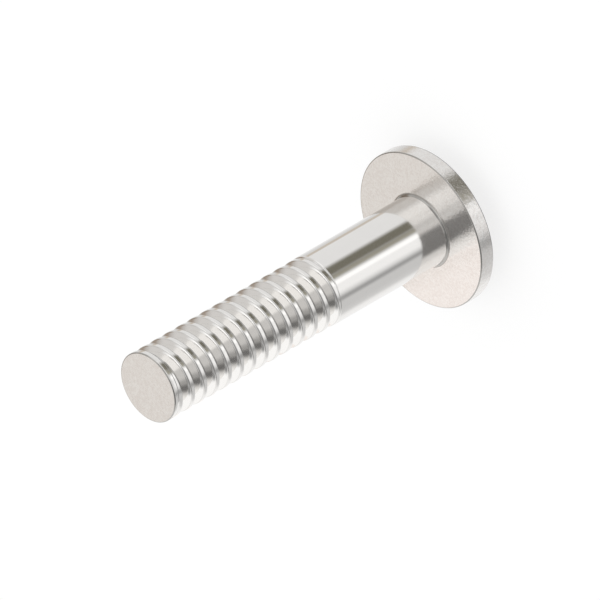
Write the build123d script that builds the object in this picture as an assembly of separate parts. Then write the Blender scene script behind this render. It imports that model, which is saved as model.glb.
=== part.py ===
"""Hex socket flange screw, 8 mm by 40 mm: one piece of cold-formed, thread-rolled, plated steel.

Millimetres throughout. The screw is drawn upright on its tip, with its axis on +Z. Lying down it
would roll on its two round edges, so it is then turned over to stand on the flat of its head.
"""

import math
import os

from build123d import *

# Shank
SHANK_DIAMETER = 8.0
LENGTH_UNDER_HEAD = 40.0
UNDERHEAD_FILLET = 0.3

# Thread: single start, right hand, with the 60 degree metric form at a coarse pitch
THREAD_LENGTH = 24.4
PITCH = 1.8
CREST_SHARE = 1 / 8
ROOT_SHARE = 1 / 4
FLANK_ANGLE = 60.0
CREST_DROP = 0.02
COLLAR_LENGTH = 0.62

# Head: a flat flange, with a domed button on its outer side
FLANGE_DIAMETER = 17.8
FLANGE_THICKNESS = 1.8
BUTTON_DIAMETER = 13.2
HEAD_HEIGHT = 4.4

# Key socket: a hexagon with a countersunk mouth and a conical floor
SOCKET_ACROSS_FLATS = 5.0
SOCKET_DEPTH = 2.6
SOCKET_FLOOR_ANGLE = 120.0
SOCKET_MOUTH_ANGLE = 90.0
SOCKET_MOUTH_MARGIN = 0.15

# The button's flat is the socket's size and this much more on each side, so it always holds the mouth
SOCKET_LAND = 1.0

# Small 45 degree break on the tip's and the flange's edges
EDGE_BREAK = 0.12

# How far the ridge's foot is sunk into the core, and how far a tool reaches past a face
RIDGE_SINK = 0.03
OVERRUN = 0.2

shank_radius = SHANK_DIAMETER / 2
crest_radius = shank_radius - CREST_DROP
crest_width = PITCH * CREST_SHARE
flank_slope = math.tan(math.radians(FLANK_ANGLE))
thread_depth = PITCH * (1 - CREST_SHARE - ROOT_SHARE) / 2 * flank_slope
root_radius = crest_radius - thread_depth

flange_radius = FLANGE_DIAMETER / 2
flange_top = LENGTH_UNDER_HEAD + FLANGE_THICKNESS
button_radius = BUTTON_DIAMETER / 2
button_flat_radius = SOCKET_ACROSS_FLATS / 2 + SOCKET_LAND
head_top = LENGTH_UNDER_HEAD + HEAD_HEIGHT


def dome_radius():
    """Radius of the sphere, centred on the axis, through the button's foot and its flat's edge."""
    rise = head_top - flange_top
    centre_drop = (button_radius**2 - button_flat_radius**2 - rise**2) / (2 * rise)
    return math.hypot(button_radius, centre_drop)


def turned_body():
    """The screw's half section, revolved: everything but the thread's ridge and the socket.

    Between the collar at the tip and the plain shank, the section drops along the thread's own
    flanks to the root of the thread.
    """
    flank_run = (shank_radius - root_radius) / flank_slope
    with BuildSketch(Plane.XZ) as half_section:
        with BuildLine():
            threaded_end = Polyline(
                (0, 0),
                (shank_radius - EDGE_BREAK, 0),
                (shank_radius, EDGE_BREAK),
                (shank_radius, COLLAR_LENGTH),
                (root_radius, COLLAR_LENGTH + flank_run),
                (root_radius, THREAD_LENGTH - flank_run),
                (shank_radius, THREAD_LENGTH),
                (shank_radius, LENGTH_UNDER_HEAD - UNDERHEAD_FILLET),
            )
            underhead = TangentArc(
                threaded_end @ 1,
                (shank_radius + UNDERHEAD_FILLET, LENGTH_UNDER_HEAD),
                tangent=(0, 1),
            )
            flange = Polyline(
                underhead @ 1,
                (flange_radius - EDGE_BREAK, LENGTH_UNDER_HEAD),
                (flange_radius, LENGTH_UNDER_HEAD + EDGE_BREAK),
                (flange_radius, flange_top - EDGE_BREAK),
                (flange_radius - EDGE_BREAK, flange_top),
                (button_radius, flange_top),
            )
            dome = RadiusArc(flange @ 1, (button_flat_radius, head_top), -dome_radius())
            Polyline(dome @ 1, (0, head_top), (0, 0))
        make_face()
    return revolve(half_section.sketch, axis=Axis.Z)


def thread_ridge():
    """The thread's ridge: one turn swept along the helix, and repeated pitch by pitch.

    Its foot is sunk into the core. It starts inside the collar, where it is trimmed clear of the
    tip's face, and it ends inside the plain shank.
    """
    foot_radius = root_radius - RIDGE_SINK
    foot_width = crest_width + 2 * (crest_radius - foot_radius) / flank_slope
    with BuildSketch(Plane.XZ) as section:
        with BuildLine():
            Polyline(
                (crest_radius, -crest_width / 2),
                (crest_radius, crest_width / 2),
                (foot_radius, foot_width / 2),
                (foot_radius, -foot_width / 2),
                close=True,
            )
        make_face()
    one_turn = sweep(section.sketch, path=Helix(PITCH, PITCH, crest_radius), is_frenet=True)
    turns = math.ceil((THREAD_LENGTH + crest_width) / PITCH)
    ridge = Part() + [Pos(0, 0, turn * PITCH) * one_turn for turn in range(turns)]
    above_tip = Pos(0, 0, COLLAR_LENGTH / 2) * Cylinder(
        shank_radius + OVERRUN, LENGTH_UNDER_HEAD, align=(Align.CENTER, Align.CENTER, Align.MIN)
    )
    return ridge & above_tip


def key_socket():
    """The metal removed for the key: the hexagon, its conical floor and its countersunk mouth."""
    floor = head_top - SOCKET_DEPTH
    flats_radius = SOCKET_ACROSS_FLATS / 2
    corners_radius = flats_radius / math.cos(math.pi / 6)
    mouth_radius = corners_radius + SOCKET_MOUTH_MARGIN
    hexagon = extrude(
        Pos(0, 0, floor) * RegularPolygon(flats_radius, 6, major_radius=False),
        amount=SOCKET_DEPTH + OVERRUN,
    )
    return (
        hexagon
        + cone_down(flats_radius, SOCKET_FLOOR_ANGLE, floor)
        + cone_down(mouth_radius, SOCKET_MOUTH_ANGLE, head_top)
    )


def cone_down(radius, full_angle, top):
    """A cone that stands on its point, with its wide end at the given height."""
    depth = radius / math.tan(math.radians(full_angle / 2))
    return Pos(0, 0, top) * Cone(0, radius, depth, align=(Align.CENTER, Align.CENTER, Align.MAX))


def stood_on_head(upright):
    """Turn the screw over: it stands on the flat of its button, with its tip upwards."""
    return Pos(0, 0, head_top) * Rot(X=180) * upright


screw = stood_on_head(turned_body() + thread_ridge() - key_socket())
screw.label = "screw"

os.makedirs("parts", exist_ok=True)
export_step(screw, "parts/screw.step")

print("solids", len(screw.solids()), "faces", len(screw.faces()), "valid", screw.is_valid)
print("volume", round(screw.volume, 1), "mm3")
print("box", screw.bounding_box().size)
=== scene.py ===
# %% [markdown]
# # A flanged screw in bright plated steel
#
# The screw stands on its head on a pale table, because on its side it would roll. It has a wide
# flange under a domed head with a hexagon socket, a plain shank, and a coarse thread at its tip.
#
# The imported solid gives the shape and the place. It is made of flat triangles, so this file makes
# one fine, smooth skin over the same sizes, and lets it stand for the solid.

# %% The frame
import math

import bmesh
import bpy
import numpy as np
from mathutils import Matrix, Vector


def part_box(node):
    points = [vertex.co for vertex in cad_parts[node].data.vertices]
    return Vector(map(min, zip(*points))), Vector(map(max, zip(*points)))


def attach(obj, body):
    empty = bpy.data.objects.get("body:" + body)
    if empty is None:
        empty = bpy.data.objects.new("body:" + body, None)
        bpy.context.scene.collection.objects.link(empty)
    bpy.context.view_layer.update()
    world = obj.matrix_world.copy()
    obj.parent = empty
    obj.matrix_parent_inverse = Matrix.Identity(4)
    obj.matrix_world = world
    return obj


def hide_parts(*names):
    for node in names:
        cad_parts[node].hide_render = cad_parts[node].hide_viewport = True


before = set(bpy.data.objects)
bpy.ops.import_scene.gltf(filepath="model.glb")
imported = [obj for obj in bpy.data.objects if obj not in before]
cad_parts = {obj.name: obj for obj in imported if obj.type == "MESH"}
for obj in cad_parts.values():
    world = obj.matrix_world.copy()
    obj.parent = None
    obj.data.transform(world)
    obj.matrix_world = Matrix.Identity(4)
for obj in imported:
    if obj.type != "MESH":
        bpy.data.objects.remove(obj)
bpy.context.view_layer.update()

# %% [markdown]
# ## Sizes
#
# These are the sizes that the solid was made from, in millimetres. Every point of a turned part is
# a radius, an angle and a height. Heights are counted here from the tip's face towards the head, as
# on a drawing of a screw, although this screw stands the other way up.
#
# The flange's radius is read from the solid's box: flat triangles cut a hair inside a true circle,
# and the skin has to stay inside them.
#
# Only the tooth of the thread is finer here than in the solid. It has the same pitch, depth and
# place, but a crest that is rolled wider and a narrower root, with soft corners.

# %% Sizes
MM = 0.001
SHANK_RADIUS = 4.0
LENGTH_UNDER_HEAD = 40.0
UNDERHEAD_FILLET = 0.3

THREAD_LENGTH = 24.4
PITCH = 1.8
CREST_RADIUS = 3.98
CREST_WIDTH = 0.3 * PITCH
ROOT_WIDTH = 0.075 * PITCH
FLANK_ANGLE = math.radians(60)
FLANK_SLOPE = math.tan(FLANK_ANGLE)
ROOT_RADIUS = CREST_RADIUS - (PITCH - CREST_WIDTH - ROOT_WIDTH) / 2 * FLANK_SLOPE
COLLAR_LENGTH = 0.62

solid_box = np.array(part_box("screw"))
FLANGE_RADIUS = float(np.abs(solid_box[:, :2]).min() / MM)
FLANGE_THICKNESS = 1.8
FLANGE_TOP = LENGTH_UNDER_HEAD + FLANGE_THICKNESS
BUTTON_RADIUS = 6.6
BUTTON_FLAT_RADIUS = 3.5
HEAD_HEIGHT = 4.4
HEAD_TOP = LENGTH_UNDER_HEAD + HEAD_HEIGHT

SOCKET_FLATS_RADIUS = 2.5
SOCKET_CORNERS_RADIUS = SOCKET_FLATS_RADIUS / math.cos(math.radians(30))
SOCKET_MOUTH_MARGIN = 0.15
SOCKET_MOUTH_RADIUS = SOCKET_CORNERS_RADIUS + SOCKET_MOUTH_MARGIN
SOCKET_DEPTH = 2.6
SOCKET_FLOOR = HEAD_TOP - SOCKET_DEPTH
SOCKET_POINT_HALF_ANGLE = math.radians(60)
SOCKET_POINT = SOCKET_FLOOR - SOCKET_FLATS_RADIUS / math.tan(SOCKET_POINT_HALF_ANGLE)

EDGE_BREAK = 0.12

print("thread depth, mm:", round(CREST_RADIUS - ROOT_RADIUS, 3))

# %% [markdown]
# ## The section's corners
#
# No edge of a real screw is sharp, and it is the small rounds that catch the light. A corner of
# the section is rounded with an arc that touches both of its sides. The arc's tangent length is
# radius times tan(half the turn), and its points go round a centre on the corner's bisector.
#
# The rounds on the tip and on the flange are a little larger than the solid's 45 degree breaks, so
# that they don't stand out of the solid's box.

# %% Rounded corners
EDGE_ROUND = 0.13
SOCKET_EDGE_ROUND = 0.06
DOME_EDGE_ROUND = 0.5
DOME_FOOT_ROUND = 0.15
MOUTH_STEP = 0.06


def rounded(corners, radii, steps=7):
    """A line of points along corners, with an arc of the given radius at each inner corner.

    Where the way turns by an angle a, the arc starts radius * tan(a / 2) before the corner, and
    its point at angle t is: start + radius * (sin(t) * forward + (1 - cos(t)) * sideways).
    """
    corners = np.asarray(corners, float)
    way = np.diff(corners, axis=0)
    way /= np.linalg.norm(way, axis=1)[:, None]
    parts = [corners[:1]]
    for corner, before, after, radius in zip(corners[1:-1], way[:-1], way[1:], radii):
        if radius == 0:
            parts.append(corner[None])
            continue
        side = np.array([-before[1], before[0]]) * np.sign(np.cross(before, after))
        turn = math.acos(np.clip(before @ after, -1, 1))
        start = corner - before * radius * math.tan(turn / 2)
        angle = np.linspace(0, turn, steps)[:, None]
        parts.append(start + radius * (np.sin(angle) * before + (1 - np.cos(angle)) * side))
    parts.append(corners[-1:])
    return np.vstack(parts)


def with_support(points, gap=0.04, long_side=0.5):
    """The same line, with one more point close to each end of every long side.

    Smooth shading mixes the directions of neighbouring faces. Close to a round, these points keep
    that mixing to a narrow band, so that the flat faces beside it stay flat to the eye.
    """
    start, end = points[:-1], points[1:]
    length = np.linalg.norm(end - start, axis=1)[:, None]
    near_start = start + (end - start) * gap / length
    near_end = end - (end - start) * gap / length
    is_long = length[:, 0] > long_side
    keep = np.column_stack([np.ones(len(start), bool), is_long, is_long])
    steps = np.stack([start, near_start, near_end], axis=1)
    return np.vstack([steps[keep], points[-1:]])


# %% [markdown]
# ## The thread
#
# A thread is a ridge that climbs by one pitch a turn. Cut along the axis it shows the same tooth
# again and again: a flat crest, two straight flanks and a narrow root. Only the distance from the
# nearest crest matters, and that is (height - pitch * turns) brought back into one pitch.
#
# A rolled thread has soft corners. Where two straight sides meet, the smaller of the two is taken,
# less a little close to the crossing. The same rule turned over rounds the root.

# %% The tooth of the thread
CREST_BLEND = 0.14
ROOT_BLEND = 0.10


def soft_min(a, b, blend):
    """The smaller of a and b, less max(blend - |a - b|, 0) squared / (4 * blend)."""
    return np.minimum(a, b) - np.maximum(blend - np.abs(a - b), 0) ** 2 / (4 * blend)


def soft_max(a, b, blend):
    """The larger of a and b, with its corner filled in the same way."""
    return -soft_min(-a, -b, blend)


def tooth(height):
    """Radius of the thread at a height above a crest: crest, flank or root, softly joined."""
    away = np.abs((height + PITCH / 2) % PITCH - PITCH / 2)
    flank = CREST_RADIUS - (away - CREST_WIDTH / 2) * FLANK_SLOPE
    return soft_max(soft_min(CREST_RADIUS, flank, CREST_BLEND), ROOT_RADIUS, ROOT_BLEND)


def blank(height):
    """Radius of the turned blank that the thread is on: a groove with the flanks' own slope."""
    from_collar = SHANK_RADIUS - (height - COLLAR_LENGTH) * FLANK_SLOPE
    from_shank = SHANK_RADIUS - (THREAD_LENGTH - height) * FLANK_SLOPE
    return soft_min(SHANK_RADIUS, np.maximum(from_collar, from_shank), CREST_BLEND)


def shank_skin(height, angle):
    """Radius of the skin from the tip to the flange: the larger of the tooth and the blank."""
    climb = PITCH * angle / (2 * math.pi)
    skin = soft_max(tooth(height - climb), blank(height), ROOT_BLEND)
    return np.minimum(skin, SHANK_RADIUS)


# %% [markdown]
# ## The rows of the skin
#
# The skin is a grid. Its columns go along the screw, and its rows go round it. On the thread the
# rows climb with the helix, so that a whole row is crest, or flank, or root, and no crest is cut
# into steps. After one turn a row meets the row one pitch above it, and the seam joins those two.
#
# At both ends of the thread the climbing rows are held at a fixed height. They pile up there into
# one ring, their doubled points are merged, and plain level rows go on from that ring. The rings lie
# a small margin inside the thread's ends, and the level rows start as far outside them.

# %% Rows round the thread
COLUMNS = 180
END_MARGIN = 0.07
angles = np.arange(COLUMNS) * 2 * math.pi / COLUMNS

HALF_TOOTH = np.concatenate([
    [0.0, 0.10],
    np.linspace(0.18, 0.36, 8),
    [0.45, 0.68],
    np.linspace(0.76, 0.89, 5),
])
TOOTH_ROWS = np.concatenate([-HALF_TOOTH[:0:-1], HALF_TOOTH, [PITCH / 2]])
ROWS_A_TURN = len(TOOTH_ROWS)

thread_start = COLLAR_LENGTH + END_MARGIN
thread_end = THREAD_LENGTH - END_MARGIN


def climbing_rows():
    """Heights (rows by columns) of the rows that climb, held between the thread's two ends."""
    first = math.floor((thread_start - PITCH) / PITCH)
    last = math.ceil(thread_end / PITCH) + 1
    starts = (np.arange(first, last)[:, None] * PITCH + TOOTH_ROWS).ravel()
    heights = starts[:, None] + PITCH * angles / (2 * math.pi)
    return np.clip(heights, thread_start, thread_end)


thread_heights = climbing_rows()
print("rows on the thread:", len(thread_heights), "with", ROWS_A_TURN, "a turn")

# %% [markdown]
# ## The head's profile
#
# The head is a turned shape too, so a list of corners makes it: the flange's underside, its rim
# and its outer side, then the domed button up to the socket's mouth. The dome is part of a sphere
# through the button's foot and the edge of its flat.

# %% Profiles of the tip and the head
dome_rise = HEAD_TOP - FLANGE_TOP
dome_drop = (BUTTON_RADIUS**2 - BUTTON_FLAT_RADIUS**2 - dome_rise**2) / (2 * dome_rise)
dome_radius = math.hypot(BUTTON_RADIUS, dome_drop)


def dome_points(steps=16):
    """Points (radius, height) on the sphere, from the button's foot to the edge of its flat."""
    foot = math.atan2(dome_drop, BUTTON_RADIUS)
    top = math.atan2(dome_drop + dome_rise, BUTTON_FLAT_RADIUS)
    angle = np.linspace(foot, top, steps)
    centre = FLANGE_TOP - dome_drop
    return np.column_stack([dome_radius * np.cos(angle), centre + dome_radius * np.sin(angle)])


tip_profile = with_support(rounded(
    [(0, 0), (SHANK_RADIUS, 0), (SHANK_RADIUS, COLLAR_LENGTH - END_MARGIN)],
    [EDGE_ROUND],
))
dome = dome_points()
head_corners = [
    (SHANK_RADIUS, THREAD_LENGTH + END_MARGIN),
    (SHANK_RADIUS, LENGTH_UNDER_HEAD),
    (FLANGE_RADIUS, LENGTH_UNDER_HEAD),
    (FLANGE_RADIUS, FLANGE_TOP),
    *dome,
    (SOCKET_MOUTH_RADIUS, HEAD_TOP),
    (SOCKET_MOUTH_RADIUS - MOUTH_STEP, HEAD_TOP - MOUTH_STEP),
]
head_rounds = [
    UNDERHEAD_FILLET,
    EDGE_ROUND,
    EDGE_ROUND,
    DOME_FOOT_ROUND,
    *np.zeros(len(dome) - 2),
    DOME_EDGE_ROUND,
    SOCKET_EDGE_ROUND,
]
head_profile = with_support(rounded(head_corners, head_rounds))
print("profile points:", len(tip_profile), "on the tip and", len(head_profile), "on the head")

# %% [markdown]
# ## The key socket
#
# The socket's wall is a hexagon. Seen from its middle, a flat wall at distance a is a / cos(angle
# from the wall's middle) away, and that angle starts again at each of the six walls. The 45 degree
# countersink meets this wall higher at the corners than at the flats, as on the real head.
#
# Below the walls is the flat ring that the punch leaves, and the cone of its point.

# %% The socket's rows
SOCKET_EDGE = 0.04


def hexagon(angle):
    """Distance from the middle to the socket's wall: flats radius / cos(angle from its middle)."""
    sixth = math.pi / 3
    return SOCKET_FLATS_RADIUS / np.cos(angle % sixth - sixth / 2)


hexagon_wall = hexagon(angles)
wall_top = HEAD_TOP - (SOCKET_MOUTH_RADIUS - hexagon_wall)
around = np.ones(COLUMNS)
socket_rows = [
    (hexagon_wall + SOCKET_EDGE, wall_top + SOCKET_EDGE),
    (hexagon_wall + 0.3 * SOCKET_EDGE, wall_top - 0.3 * SOCKET_EDGE),
    (hexagon_wall, wall_top - 1.4 * SOCKET_EDGE),
    (hexagon_wall, SOCKET_FLOOR * around),
    (SOCKET_FLATS_RADIUS * around, SOCKET_FLOOR * around),
    (0.5 * SOCKET_FLATS_RADIUS * around, (SOCKET_FLOOR + SOCKET_POINT) / 2 * around),
    (0 * around, SOCKET_POINT * around),
]

# %% [markdown]
# ## One grid from tip to socket
#
# All the rows are put in one stack: the tip, the level rows into the thread, the climbing rows,
# the level rows out of it, the head and the socket. With them go two numbers that the material
# reads. `grained` says how each part of the surface was made: 1 where a die or a blade left it
# finely grained, and 0 where it was drawn or rolled smooth. The second number is painted shade:
# it darkens the small rounds of the edges, the corner under the head, and the thread's root and
# the corners of its crest, where shade and dark reflections fall.

# %% Stack the rows
def level_rows(profile):
    """Radii and heights of level rows, one for each point of a profile."""
    return profile[:, :1] * around, profile[:, 1:] * around


def skin_rows(heights):
    """Radii and heights of rows on the shank's skin, which may be thread or plain."""
    heights = heights * around
    return shank_skin(heights, angles), heights


def between(low, high, steps=8):
    """Heights of the level rows between two heights that have rows of their own."""
    return np.linspace(low, high, steps)[1:-1, None]


into_thread = between(COLLAR_LENGTH - END_MARGIN, thread_start)
out_of_thread = between(thread_end, THREAD_LENGTH + END_MARGIN)
sections = [
    level_rows(tip_profile),
    skin_rows(into_thread),
    skin_rows(thread_heights),
    skin_rows(out_of_thread),
    level_rows(head_profile),
    tuple(np.array(part) for part in zip(*socket_rows)),
]
radii = np.vstack([section[0] for section in sections])
heights = np.vstack([section[1] for section in sections])
section_ends = np.cumsum([len(section[0]) for section in sections])
first_climbing, end_of_climbing = section_ends[1], section_ends[2]
print("grid:", radii.shape[0], "rows by", COLUMNS, "columns")

# %% [markdown]
# ## The mesh
#
# The screw stands on its head, so its tip is at the top of the solid's box, and heights counted
# from the tip go down. A point of the skin is radius * cos(angle) along X, radius * sin(angle)
# against Y, and the tip's height less its own height along Z. Turned over in this way about the X
# axis, a right-hand thread stays right-hand.
#
# Each face joins a row to the next one and a column to the next one, so that it looks outwards.

# %% Points and faces
tip_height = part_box("screw")[1][2] / MM
print("tip of the solid at", round(tip_height, 4), "mm, and of the skin at", HEAD_TOP)
points = MM * np.stack(
    [radii * np.cos(angles), -radii * np.sin(angles), HEAD_TOP - heights], axis=-1
)

rows = np.arange(len(radii))
row_past_seam = rows.copy()
climbing = rows[first_climbing:end_of_climbing]
row_past_seam[climbing] = np.minimum(climbing + ROWS_A_TURN, end_of_climbing - 1)

here = rows[:, None] * COLUMNS + np.arange(COLUMNS)
beside = np.column_stack([here[:, 1:], here[row_past_seam, 0]])
faces = np.stack([here[:-1], beside[:-1], beside[1:], here[1:]], axis=-1).reshape(-1, 4)

# %% How the surface was made, row by row
FACE_MARGIN = 0.02
SOCKET_GRAIN = 0.5

grained = np.zeros(len(radii))
is_flat_tip = heights[:, 0] < FACE_MARGIN
is_head = heights.min(axis=1) > LENGTH_UNDER_HEAD - FACE_MARGIN
grained[is_flat_tip | is_head] = 1.0
grained[section_ends[4]:] = SOCKET_GRAIN

# %% Painted shade on the edges and in the corner under the head
EDGE_PAINTED_SHADE = 0.75
FILLET_PAINTED_SHADE = 0.75
SHADE_REACH = 0.75

# painted shade: the rounds of the tip's and the flange's edges and the fillet under the head are
# darkened
painted_shade = np.zeros(radii.shape)
shaded_corners = [
    (SHANK_RADIUS, 0.0, EDGE_ROUND, EDGE_PAINTED_SHADE),
    (FLANGE_RADIUS, LENGTH_UNDER_HEAD, EDGE_ROUND, EDGE_PAINTED_SHADE),
    (FLANGE_RADIUS, FLANGE_TOP, EDGE_ROUND, EDGE_PAINTED_SHADE),
    (SHANK_RADIUS, LENGTH_UNDER_HEAD, UNDERHEAD_FILLET, FILLET_PAINTED_SHADE),
]
for corner_radius, corner_height, size, shade_strength in shaded_corners:
    away = np.hypot(radii - corner_radius, heights - corner_height)
    painted_shade[away < SHADE_REACH * size] = shade_strength

# %% Painted shade along the thread's root and crest corners
ROOT_PAINTED_SHADE = 0.7
CREST_CORNER_PAINTED_SHADE = 0.28
ROOT_HALF_WIDTH = 0.12
SHADE_LINE_WIDTH = 0.07
LEAST_CUT = 0.001

thread_rows = slice(first_climbing, end_of_climbing)
above_crest = heights[thread_rows] - PITCH * angles / (2 * math.pi)
from_crest = np.abs((above_crest + PITCH / 2) % PITCH - PITCH / 2)
in_root = np.clip((from_crest - (PITCH / 2 - ROOT_HALF_WIDTH)) / SHADE_LINE_WIDTH, 0, 1)
at_corner = np.clip(1 - np.abs(from_crest - CREST_WIDTH / 2) / SHADE_LINE_WIDTH, 0, 1)
is_cut = radii[thread_rows] < SHANK_RADIUS - LEAST_CUT
# painted shade: a dark line along the thread's root and a fainter one at the corners of its crest
thread_shade_strength = np.maximum(ROOT_PAINTED_SHADE * in_root, CREST_CORNER_PAINTED_SHADE * at_corner)
painted_shade[thread_rows] = is_cut * thread_shade_strength
print("dulled share of the points:", round(float((painted_shade > 0).mean()), 2))

# %% [markdown]
# ## Into Blender
#
# The doubled points at the two poles, along the seam and where the climbing rows pile up are
# merged, and the flat faces that they leave vanish with them. Shading is smooth except across real
# edges, which are those that turn by more than 25 degrees.

# %% Make the mesh
MERGE_DISTANCE = 1e-7
SHARP_ANGLE = math.radians(25)


def make_skin(name):
    """One closed mesh from the grid of points, with its two numbers as attributes."""
    mesh = bpy.data.meshes.new(name)
    # the second number is painted shade, not a way the surface was made
    mesh.from_pydata(points.reshape(-1, 3), [], faces)
    surface_numbers = {"grained": grained[:, None] * around, "painted_shade": painted_shade}
    for title, numbers in surface_numbers.items():
        attribute = mesh.attributes.new(title, "FLOAT", "POINT")
        attribute.data.foreach_set("value", numbers.ravel().astype(np.float32))
    shape = bmesh.new()
    shape.from_mesh(mesh)
    bmesh.ops.remove_doubles(shape, verts=shape.verts, dist=MERGE_DISTANCE)
    open_edges = sum(not edge.is_manifold for edge in shape.edges)
    shape.to_mesh(mesh)
    volume = shape.calc_volume() / MM**3
    shape.free()
    mesh.shade_smooth()
    mesh.set_sharp_from_angle(angle=SHARP_ANGLE)
    triangles = sum(len(face.vertices) - 2 for face in mesh.polygons)
    print(name, "triangles", triangles, "open edges", open_edges, "volume", round(volume, 1), "mm3")
    return mesh


screw = bpy.data.objects.new("flange_screw", make_skin("flange_screw"))
bpy.context.scene.collection.objects.link(screw)
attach(screw, "root")
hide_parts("screw")

# %% [markdown]
# ## Writing shader maths in Python
#
# A material is a graph of nodes. To keep its sums readable, a socket is wrapped in a small class
# whose operators add the matching Math nodes, so that `1 - mask` works as it reads. Every other
# node comes from one method that sets its settings first and then its inputs.

# %% A wrapped socket and a material
class Signal:
    """A number that varies over the surface: a socket, with operators that add Math nodes."""

    def __init__(self, material, socket):
        self.material = material
        self.socket = socket

    def __add__(self, other):
        return self.material.math("ADD", self, other)

    def __sub__(self, other):
        return self.material.math("SUBTRACT", self, other)

    def __rsub__(self, other):
        return self.material.math("SUBTRACT", other, self)

    def __mul__(self, other):
        return self.material.math("MULTIPLY", self, other)

    __radd__ = __add__
    __rmul__ = __mul__


class Node:
    """A node whose outputs are read by name, each as a Signal."""

    def __init__(self, material, node):
        self.material = material
        self.node = node

    def __getitem__(self, output):
        return Signal(self.material, self.node.outputs[output])


class Material:
    """A node material, or the world's, that starts empty."""

    def __init__(self, owner):
        owner.use_nodes = True
        self.tree = owner.node_tree
        self.tree.nodes.clear()

    def node(self, kind, settings=None, inputs=None):
        """A new node: its settings are set first, then its inputs, which are values or Signals."""
        made = self.tree.nodes.new(kind)
        for name, value in (settings or {}).items():
            setattr(made, name, value)
        for name, value in (inputs or {}).items():
            self.feed(made.inputs[name], value)
        return Node(self, made)

    def feed(self, target, value):
        """Link a Signal to an input, or set the input to a plain value."""
        if isinstance(value, Signal):
            self.tree.links.new(value.socket, target)
        else:
            target.default_value = value

    def noise(self, place, size, detail=2.0, roughness=0.5):
        """Soft noise between 0 and 1, whose lumps are about size metres across."""
        made = self.node(
            "ShaderNodeTexNoise",
            {"noise_dimensions": "3D"},
            {"Vector": place, "Scale": 1 / size, "Detail": detail, "Roughness": roughness},
        )
        return made["Fac"]

    def math(self, operation, *values):
        """The Math node of one operation on numbers or Signals."""
        return self.node("ShaderNodeMath", {"operation": operation}, dict(enumerate(values)))["Value"]

    def smooth_step(self, value, low, high):
        """0 at low and 1 at high, with an S-shaped run between the two."""
        settings = {"interpolation_type": "SMOOTHSTEP"}
        inputs = {"Value": value, "From Min": low, "From Max": high}
        return self.node("ShaderNodeMapRange", settings, inputs)["Result"]

    def blend(self, factor, low, high):
        """A colour between low and high.

        A Mix node has one set of equally named sockets for each type, so they are told apart here
        by their identifiers.
        """
        made = self.node("ShaderNodeMix", {"data_type": "RGBA"}).node
        inputs = {socket.identifier: socket for socket in made.inputs}
        outputs = {socket.identifier: socket for socket in made.outputs}
        self.feed(inputs["Factor_Float"], factor)
        self.feed(inputs["A_Color"], low)
        self.feed(inputs["B_Color"], high)
        return Signal(self, outputs["Result_Color"])


# %% [markdown]
# ## Bright plated steel
#
# One thin bright plating covers the whole screw, so its colour is nearly the same all over, a
# light steel with a trace of warmth. What differs is the surface under it:
#
# - the shank was drawn, so faint lines run along it, and it mirrors the room well;
# - the thread was rolled, so its lines run round it;
# - the head and the cut tip keep the fine grain of the die and the blade, which breaks a
#   reflection up into small ragged patches.
#
# The patterns are laid out on Object coordinates, whose Z axis is the screw's own axis. Stretching
# noise far along one direction makes lines of it. On top of them, painted shade darkens the rounds
# of the edges, the corner under the head and the thread's root and crest corners.

# %% The plated steel
STEEL = (0.87, 0.855, 0.835, 1.0)
STEEL_SHADE = (0.845, 0.83, 0.81, 1.0)
STEEL_GRAIN = (0.82, 0.79, 0.765, 1.0)
# painted shade: the dark colour for the edge rounds, the corner under the head and the thread's root
# and crest corners
PAINTED_SHADE_COLOUR = (0.30, 0.29, 0.27, 1.0)

GRAIN_SIZE = 0.00034
FINE_GRAIN_SIZE = 0.00007
MOTTLE_SIZE = 0.0012
LINE_WIDTH = 0.00006
LINE_STRETCH = 0.004

GRAIN_HEIGHT = 0.000018
LINE_HEIGHT = 0.0000012

GRAIN_SHARE = 0.7
MOTTLE_SHARE = 0.3
SPECKLE_RANGE = (0.38, 0.62)

SMOOTH_ROUGHNESS = 0.07
LINE_ROUGHNESS = 0.05
GRAIN_ROUGHNESS = 0.05
FINE_GRAIN_ROUGHNESS = 0.05


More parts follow.
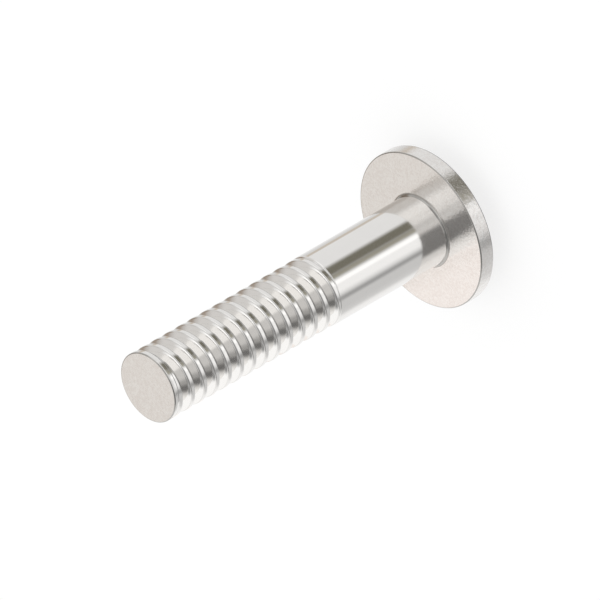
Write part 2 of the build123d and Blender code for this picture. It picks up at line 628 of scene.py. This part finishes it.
def plated_steel():
    """Metal whose colour, roughness and bump come from the three surfaces under the plating, with
    painted shade darkening the colour on the edge rounds, the corner under the head and the thread's
    root and crest corners.
    """
    made = bpy.data.materials.new("plated_steel")
    steel = Material(made)
    place = steel.node("ShaderNodeTexCoord")["Object"]
    lengthwise = steel.node(
        "ShaderNodeMapping", {}, {"Vector": place, "Scale": (1, 1, LINE_WIDTH / LINE_STRETCH)}
    )["Vector"]
    grained_here = steel.node("ShaderNodeAttribute", {"attribute_name": "grained"})["Fac"]

    grain = steel.noise(place, GRAIN_SIZE, 3.0, 0.6)
    fine_grain = steel.noise(place, FINE_GRAIN_SIZE)
    mottle = steel.noise(place, MOTTLE_SIZE, 3.0)
    lines = steel.noise(lengthwise, LINE_WIDTH)

    plain = steel.blend(mottle, STEEL_SHADE, STEEL)
    speckles = steel.smooth_step(GRAIN_SHARE * grain + MOTTLE_SHARE * mottle, *SPECKLE_RANGE)
    speckled = steel.blend(speckles, STEEL_GRAIN, STEEL)
    bright = steel.blend(grained_here, plain, speckled)
    # painted shade: the colour is darkened towards a dark steel on the edge rounds, under the head
    # and along the thread's root and crest corners
    painted_shade_here = steel.node("ShaderNodeAttribute", {"attribute_name": "painted_shade"})["Fac"]
    colour = steel.blend(painted_shade_here, bright, PAINTED_SHADE_COLOUR)
    roughness = (
        SMOOTH_ROUGHNESS
        + LINE_ROUGHNESS * lines
        + grained_here * (GRAIN_ROUGHNESS + FINE_GRAIN_ROUGHNESS * fine_grain)
    )

    height = grained_here * (grain * GRAIN_HEIGHT) + (1 - grained_here) * (lines * LINE_HEIGHT)
    bump = steel.node("ShaderNodeBump", {}, {"Height": height, "Distance": 1.0, "Strength": 1.0})
    shader = steel.node(
        "ShaderNodeBsdfPrincipled",
        {},
        {
            "Base Color": colour,
            "Metallic": 1.0,
            "Roughness": roughness,
            "Normal": bump["Normal"],
        },
    )
    steel.node("ShaderNodeOutputMaterial", {}, {"Surface": shader["BSDF"]})
    return made


screw.data.materials.append(plated_steel())

# %% [markdown]
# ## The table
#
# The table looks white to the camera. A part of that brightness still comes from the room's light,
# so that it keeps the screw's soft shadow. Mirrored rays pass the table by, so that the metal shows
# the whole round of the room, the part below the table's level with it.
#
# The table is clear from below, so that the head's outer side can be looked at too. It lies a hair
# under the screw, because two faces at one and the same height would flicker through each other.

# %% The table
TABLE_SIZE = 0.9
TABLE_COLOUR = (0.30, 0.30, 0.30, 1.0)
TABLE_GLOW = 0.72
TABLE_TOP = -0.02 * MM


def quad(name, corners, material):
    """A flat piece of the studio, with four corners in metres."""
    mesh = bpy.data.meshes.new(name)
    mesh.from_pydata(corners, [], [(0, 1, 2, 3)])
    mesh.materials.append(material)
    made = bpy.data.objects.new(name, mesh)
    bpy.context.scene.collection.objects.link(made)
    return made


def table_paint():
    """Matt white paint that glows a little where the camera sees it, and is clear from below."""
    made = bpy.data.materials.new("table_paint")
    paint = Material(made)
    matt = paint.node("ShaderNodeBsdfDiffuse", {}, {"Color": TABLE_COLOUR})["BSDF"]
    seen = paint.node("ShaderNodeLightPath")["Is Camera Ray"]
    glow = paint.node("ShaderNodeEmission", {}, {"Strength": seen * TABLE_GLOW})["Emission"]
    both = paint.node("ShaderNodeAddShader", {}, {0: matt, 1: glow})["Shader"]
    clear = paint.node("ShaderNodeBsdfTransparent")["BSDF"]
    from_below = paint.node("ShaderNodeNewGeometry")["Backfacing"]
    sides = paint.node("ShaderNodeMixShader", {}, {0: from_below, 1: both, 2: clear})["Shader"]
    paint.node("ShaderNodeOutputMaterial", {}, {"Surface": sides})
    return made


half = TABLE_SIZE / 2
corners_round = [(-half, -half), (half, -half), (half, half), (-half, half)]
table = quad("table", [(x, y, TABLE_TOP) for x, y in corners_round], table_paint())
table.visible_glossy = False

# %% [markdown]
# ## Camera
#
# The camera looks at the screw so that the screw's axis and two directions across it all look
# equally long: a flat, parallel view, 35.26 degrees above the table. It stands to the left of the
# front, where the thread's crests face it. It is turned on its own axis too, so that the tip points
# to the lower left of the picture and the head to the upper right.

# %% Camera
AZIMUTH = math.radians(-50)
ELEVATION = math.atan(math.sqrt(0.5))
ROLL = math.radians(120)
VIEW_WIDTH = 0.0622
AIM = (0.0, 0.0, 0.0221)
CAMERA_DISTANCE = 0.3

right = np.array([math.cos(AZIMUTH), math.sin(AZIMUTH), 0.0])
towards = np.array([math.sin(AZIMUTH), -math.cos(AZIMUTH), 0.0])
back = math.cos(ELEVATION) * towards + np.array([0.0, 0.0, math.sin(ELEVATION)])
up = np.cross(back, right)
turned_right = math.cos(ROLL) * right - math.sin(ROLL) * up
turned_up = math.sin(ROLL) * right + math.cos(ROLL) * up

lens = bpy.data.cameras.new("camera")
lens.type = "ORTHO"
lens.ortho_scale = VIEW_WIDTH
camera = bpy.data.objects.new("camera", lens)
camera.location = np.array(AIM) + back * CAMERA_DISTANCE
camera.rotation_euler = Matrix(np.column_stack([turned_right, turned_up, back])).to_euler()
bpy.context.scene.collection.objects.link(camera)
bpy.context.scene.camera = camera

# %% [markdown]
# ## A card beside the flange
#
# A parallel view mirrors one and the same spot of a distant room all over a flat face. The flange
# is lighter on the lower side of the shank, so something near the screw lights that side: a pale
# card behind the screw, low enough for the flange to see it and the tip not. Its corners are
# placed from a point on the flange, along the direction that the flat faces mirror.

# %% The card
CARD_DISTANCE = 0.030
CARD_SIDES = (0.0036, 0.0150)
CARD_REACH = 0.0105
CARD_COLOUR = (1.04, 0.985, 0.955, 1.0)


def card_paint():
    """Paint that glows evenly, like a card lit by a lamp of its own."""
    made = bpy.data.materials.new("card_paint")
    paint = Material(made)
    glow = paint.node("ShaderNodeEmission", {}, {"Color": CARD_COLOUR, "Strength": 1.0})["Emission"]
    paint.node("ShaderNodeOutputMaterial", {}, {"Surface": glow})
    return made


mirrored = math.sin(ELEVATION) * np.array([0.0, 0.0, 1.0]) - math.cos(ELEVATION) * towards
card_top = np.cross(mirrored, right)
flange_face = np.array([0.0, 0.0, MM * (HEAD_TOP - LENGTH_UNDER_HEAD)])
card_middle = flange_face + CARD_DISTANCE * mirrored
card_corners = [
    card_middle - side_way * right + reach * card_top
    for side_way, reach in (
        (CARD_SIDES[0], -CARD_REACH),
        (CARD_SIDES[1], -CARD_REACH),
        (CARD_SIDES[1], CARD_REACH),
        (CARD_SIDES[0], CARD_REACH),
    )
]
card = quad("card", card_corners, card_paint())
for kind in ("camera", "diffuse", "transmission", "volume_scatter", "shadow"):
    setattr(card, "visible_" + kind, False)
print("card's corners, mm:", np.round(1000 * np.array(card_corners), 1).tolist())

# %% [markdown]
# ## The room
#
# Polished metal has no look of its own: it shows the room. A photographer shapes that look with
# large white, grey and dark boards that hang all round, out of the picture. Here the boards are
# painted on the far wall of the room itself, the world: each is a soft-edged patch between two
# directions round the screw and two heights, both in degrees, and only mirrored rays see it. All
# other rays see plain white, so the light itself stays even and soft.
#
# Directions go round the screw, clockwise from above: 0 is the side that the camera stands on, 90
# its left and -90 its right. A height of 0 is level, 90 is straight above the tip and -90 straight
# below the head.

# %% A room that is painted with boards
world = bpy.data.worlds.new("room")
bpy.context.scene.world = world
room = Material(world)
direction = room.node(
    "ShaderNodeSeparateXYZ", {}, {"Vector": room.node("ShaderNodeTexCoord")["Generated"]}
)
DEGREES = 180 / math.pi
camera_side = math.atan2(towards[1], towards[0]) * DEGREES
side = camera_side - room.math("ARCTAN2", direction["Y"], direction["X"]) * DEGREES
height = room.math("ARCSINE", direction["Z"]) * DEGREES


def soft_between(value, first, last, soft):
    """1 where value is between first and last, falling to 0 over soft degrees at both ends."""
    middle, half_width = (first + last) / 2, (last - first) / 2
    away = room.math("PINGPONG", value - middle, 180.0)
    return room.smooth_step(away, half_width + soft / 2, half_width - soft / 2)


def board(wall, colour, sides, heights, side_soft=10.0, height_soft=6.0):
    """The wall with one more board on it, between two directions and two heights in degrees."""
    there = soft_between(side, *sides, side_soft) * soft_between(height, *heights, height_soft)
    return room.blend(there, wall, colour)


def grey(level, warmth=0.0):
    """A grey of the given strength; warmth adds to its red and takes from its blue."""
    return (level * (1 + warmth), level, level * (1 - warmth), 1.0)


# %% The boards
BARE_WALL = grey(0.88)
PALE_BROWN = (0.62, 0.56, 0.49, 1.0)
BROWN = (0.50, 0.44, 0.38, 1.0)
DARK_BROWN = (0.38, 0.32, 0.27, 1.0)
OLIVE = (0.37, 0.355, 0.30, 1.0)
DARK_OLIVE = (0.19, 0.18, 0.145, 1.0)
ALL_ROUND = (-200, 200)

# each board: its colour, the directions and heights it covers, then the softness of its sides and
# of its top and bottom where those aren't the usual ones
large_boards = [
    (grey(1.10), (-78, -4), (-28, 80)),
    (grey(0.84), (-125, -66), (-20, 10)),
    (grey(0.70, 0.02), (-128, -88), (12, 62)),
    (grey(1.10), (106, 166), (-30, 42), 16),
    (grey(0.81, 0.035), (166, 222), (10, 70), 6),
]
boards_round_the_thread = [
    (grey(0.57, 0.04), (-160, -127), (15, 50)),
    (grey(0.60), (-30, 14), (-14, 5)),
    (grey(0.75), (-22, 4), (16, 50), 16),
    (grey(0.62), (10, 38), (0, 30), 14),
    (grey(0.32), (38, 62), (0, 30), 16),
    (grey(0.30), (62, 88), (0, 32), 16),
    (grey(0.20), (12, 80), (28, 50), 16, 8),
    (grey(0.20), (26, 82), (-24, 0), 14, 8),
    (grey(0.36), (30, 100), (50, 68), 16, 8),
    (grey(0.30), (-50, -29), (-13, 1)),
    (grey(0.50), (-46, -4), (2, 30), 14, 8),
    (DARK_BROWN, (-146, -122), (0, 30), 10, 10),
    (BROWN, (-178, -158), (8, 32), 10, 8),
    (grey(0.76), (-96, -8), (39, 58), 14, 6),
    (grey(0.34), (4, 84), (40, 62), 14, 8),
]
boards_overhead = [
    (grey(1.26), (-90, 8), (66, 114), 30, 12),
    (grey(0.64), (24, 96), (66, 82), 30, 10),
    (grey(0.36), (86, 108), (58, 69), 14, 8),
    (grey(0.30), (96, 146), (45, 58), 9, 8),
]
boards_that_the_shank_mirrors = [
    (grey(0.70), (-114, -56), (-32, -17), 6),
    (grey(1.14), (-84, -2), (-27, -12), 10),
    (grey(0.76), (0, 96), (-29, -8), 14, 4),
    (grey(0.44), (40, 92), (-26, -8), 22, 4),
    (grey(0.20), (60, 84), (-22, -8), 16, 4),
    (grey(1.08), (92, 124), (-31, -16), 14, 4),
    (grey(0.86), (-120, -44), (-42, -30), 4),
    (grey(0.64), (-20, 122), (-50, -29), 40, 4),
    (grey(0.98), (124, 168), (-50, -30), 26, 4),
    (grey(0.74), (-150, -126), (-50, -30), 16, 4),
    (grey(1.02), (0, 45), (-39, -31), 22, 4),
    (grey(0.38), (54, 67), (-50, -29), 12, 4),
    (OLIVE, (-16, -3), (-50, -29), 9, 4),
    (grey(1.22), (4, 15), (-39, -31), 8, 4),
    (DARK_OLIVE, (-45.5, -15), (-50, -29), 16, 4),
    (PALE_BROWN, (-132, -119), (-50, -29), 5),
]
boards_below_the_head = [
    (grey(0.34), ALL_ROUND, (-100, -42), 4, 6),
    (grey(1.0), (100, 166), (-60, -38), 16, 8),
]

# a later board covers what it overlaps of an earlier one
board_groups = [
    large_boards,
    boards_round_the_thread,
    boards_overhead,
    boards_that_the_shank_mirrors,
    boards_below_the_head,
]
wall = BARE_WALL
for group in board_groups:
    for colour, sides, heights_covered, *softness in group:
        wall = board(wall, colour, sides, heights_covered, *softness)
print("boards:", sum(len(group) for group in board_groups))

# %% The room's light
rays = room.node("ShaderNodeLightPath")
seen = room.blend(rays["Is Glossy Ray"], (1, 1, 1, 1), wall)
room_light = room.node("ShaderNodeBackground", {}, {"Color": seen, "Strength": 1.0})
room.node("ShaderNodeOutputWorld", {}, {"Surface": room_light["Background"]})

# %% Colours as written
bpy.context.scene.view_settings.view_transform = "Standard"
